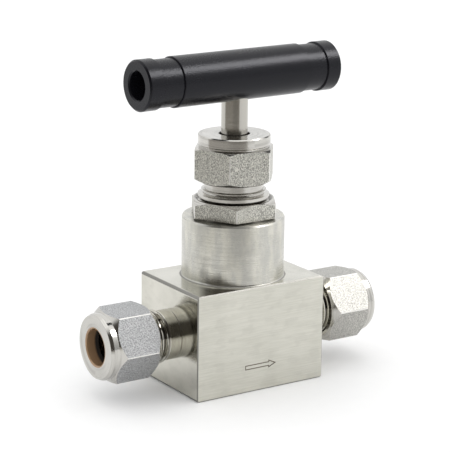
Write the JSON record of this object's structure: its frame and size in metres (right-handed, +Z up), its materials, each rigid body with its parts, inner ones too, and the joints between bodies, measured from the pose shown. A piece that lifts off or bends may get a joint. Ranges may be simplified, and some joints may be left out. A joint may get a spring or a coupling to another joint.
{
  "type": "needle valve",
  "caption": "Square-bar needle valve: round neck, packing bolt with lock nut, black bar handle on a rising stem, and a tube nut with twin ferrules at each end.",
  "frame": {"origin": "centre of the bottom face, straight under the stem axis", "axes": "+X along the flow from inlet to outlet, +Y to the back, +Z up along the stem"},
  "size_m": [0.0746, 0.0254, 0.0789],
  "materials": {
    "body_steel": "brushed bar stock with polished ends and a turned neck",
    "nut_steel": "fine-blasted flats with polished bevels and collar",
    "ferrule_steel": "turned, warm tint",
    "turned_steel": "turned",
    "stem_steel": "polished",
    "hard_alloy": "lapped",
    "graphite": "pressed flexible graphite",
    "black_anodised": "satin black anodised",
    "screw_steel": "blackened"
  },
  "bodies": {
    "valve_body": {"body": "body_steel", "packing_support": "turned_steel", "packing_ring_lower": "graphite", "packing_ring_middle": "graphite", "packing_ring_upper": "graphite"},
    "lower_stem_group": {"lower_stem": "stem_steel", "ball_tip": "hard_alloy", "thrust_washer": "hard_alloy"},
    "handle_group": {"upper_stem": "stem_steel", "stem_retainer": "turned_steel", "handle_bar": "black_anodised", "handle_set_screw": "screw_steel"},
    "gland_group": {"packing_gland": "turned_steel"},
    "packing_bolt_group": {"packing_bolt": "nut_steel"},
    "lock_nut_group": {"lock_nut": "nut_steel"},
    "inlet_ferrules": {"inlet_front_ferrule": "ferrule_steel", "inlet_back_ferrule": "ferrule_steel"},
    "inlet_nut_group": {"inlet_nut": "nut_steel"},
    "outlet_ferrules": {"outlet_front_ferrule": "ferrule_steel", "outlet_back_ferrule": "ferrule_steel"},
    "outlet_nut_group": {"outlet_nut": "nut_steel"}
  },
  "joints": [
    {"name": "stem_lift", "type": "slide", "parent": "valve_body", "child": "lower_stem_group", "axis": [0, 0, 1], "range_m": [0, 0.00375]},
    {"name": "handle_turn", "type": "hinge", "parent": "lower_stem_group", "child": "handle_group", "pos_m": [0, 0, 0.07305], "axis": [0, 0, 1], "range_deg": [0, 1350]},
    {"name": "gland_lift", "type": "slide", "parent": "valve_body", "child": "gland_group", "axis": [0, 0, 1], "range_m": [0, 0.003]},
    {"name": "packing_bolt_turn", "type": "hinge", "parent": "gland_group", "child": "packing_bolt_group", "pos_m": [0, 0, 0.04], "axis": [0, 0, 1], "range_deg": [0, 1080]},
    {"name": "lock_nut_turn", "type": "hinge", "parent": "packing_bolt_group", "child": "lock_nut_group", "pos_m": [0, 0, 0.042], "axis": [0, 0, 1], "range_deg": [0, 60]},
    {"name": "inlet_ferrule_slide", "type": "slide", "parent": "valve_body", "child": "inlet_ferrules", "axis": [-1, 0, 0], "range_m": [0, 0.00508]},
    {"name": "inlet_nut_turn", "type": "hinge", "parent": "inlet_ferrules", "child": "inlet_nut_group", "pos_m": [-0.03, 0, 0.0133], "axis": [-1, 0, 0], "range_deg": [0, 1440]},
    {"name": "outlet_ferrule_slide", "type": "slide", "parent": "valve_body", "child": "outlet_ferrules", "axis": [1, 0, 0], "range_m": [0, 0.00508]},
    {"name": "outlet_nut_turn", "type": "hinge", "parent": "outlet_ferrules", "child": "outlet_nut_group", "pos_m": [0.03, 0, 0.0133], "axis": [1, 0, 0], "range_deg": [0, 1440]}
  ],
  "couplings": [
    {"joint": "handle_turn", "follows": "stem_lift", "rad_per_m": 6283.2},
    {"joint": "packing_bolt_turn", "follows": "gland_lift", "rad_per_m": 6283.2},
    {"joint": "inlet_nut_turn", "follows": "inlet_ferrule_slide", "rad_per_m": 4947.4},
    {"joint": "outlet_nut_turn", "follows": "outlet_ferrule_slide", "rad_per_m": 4947.4}
  ]
}
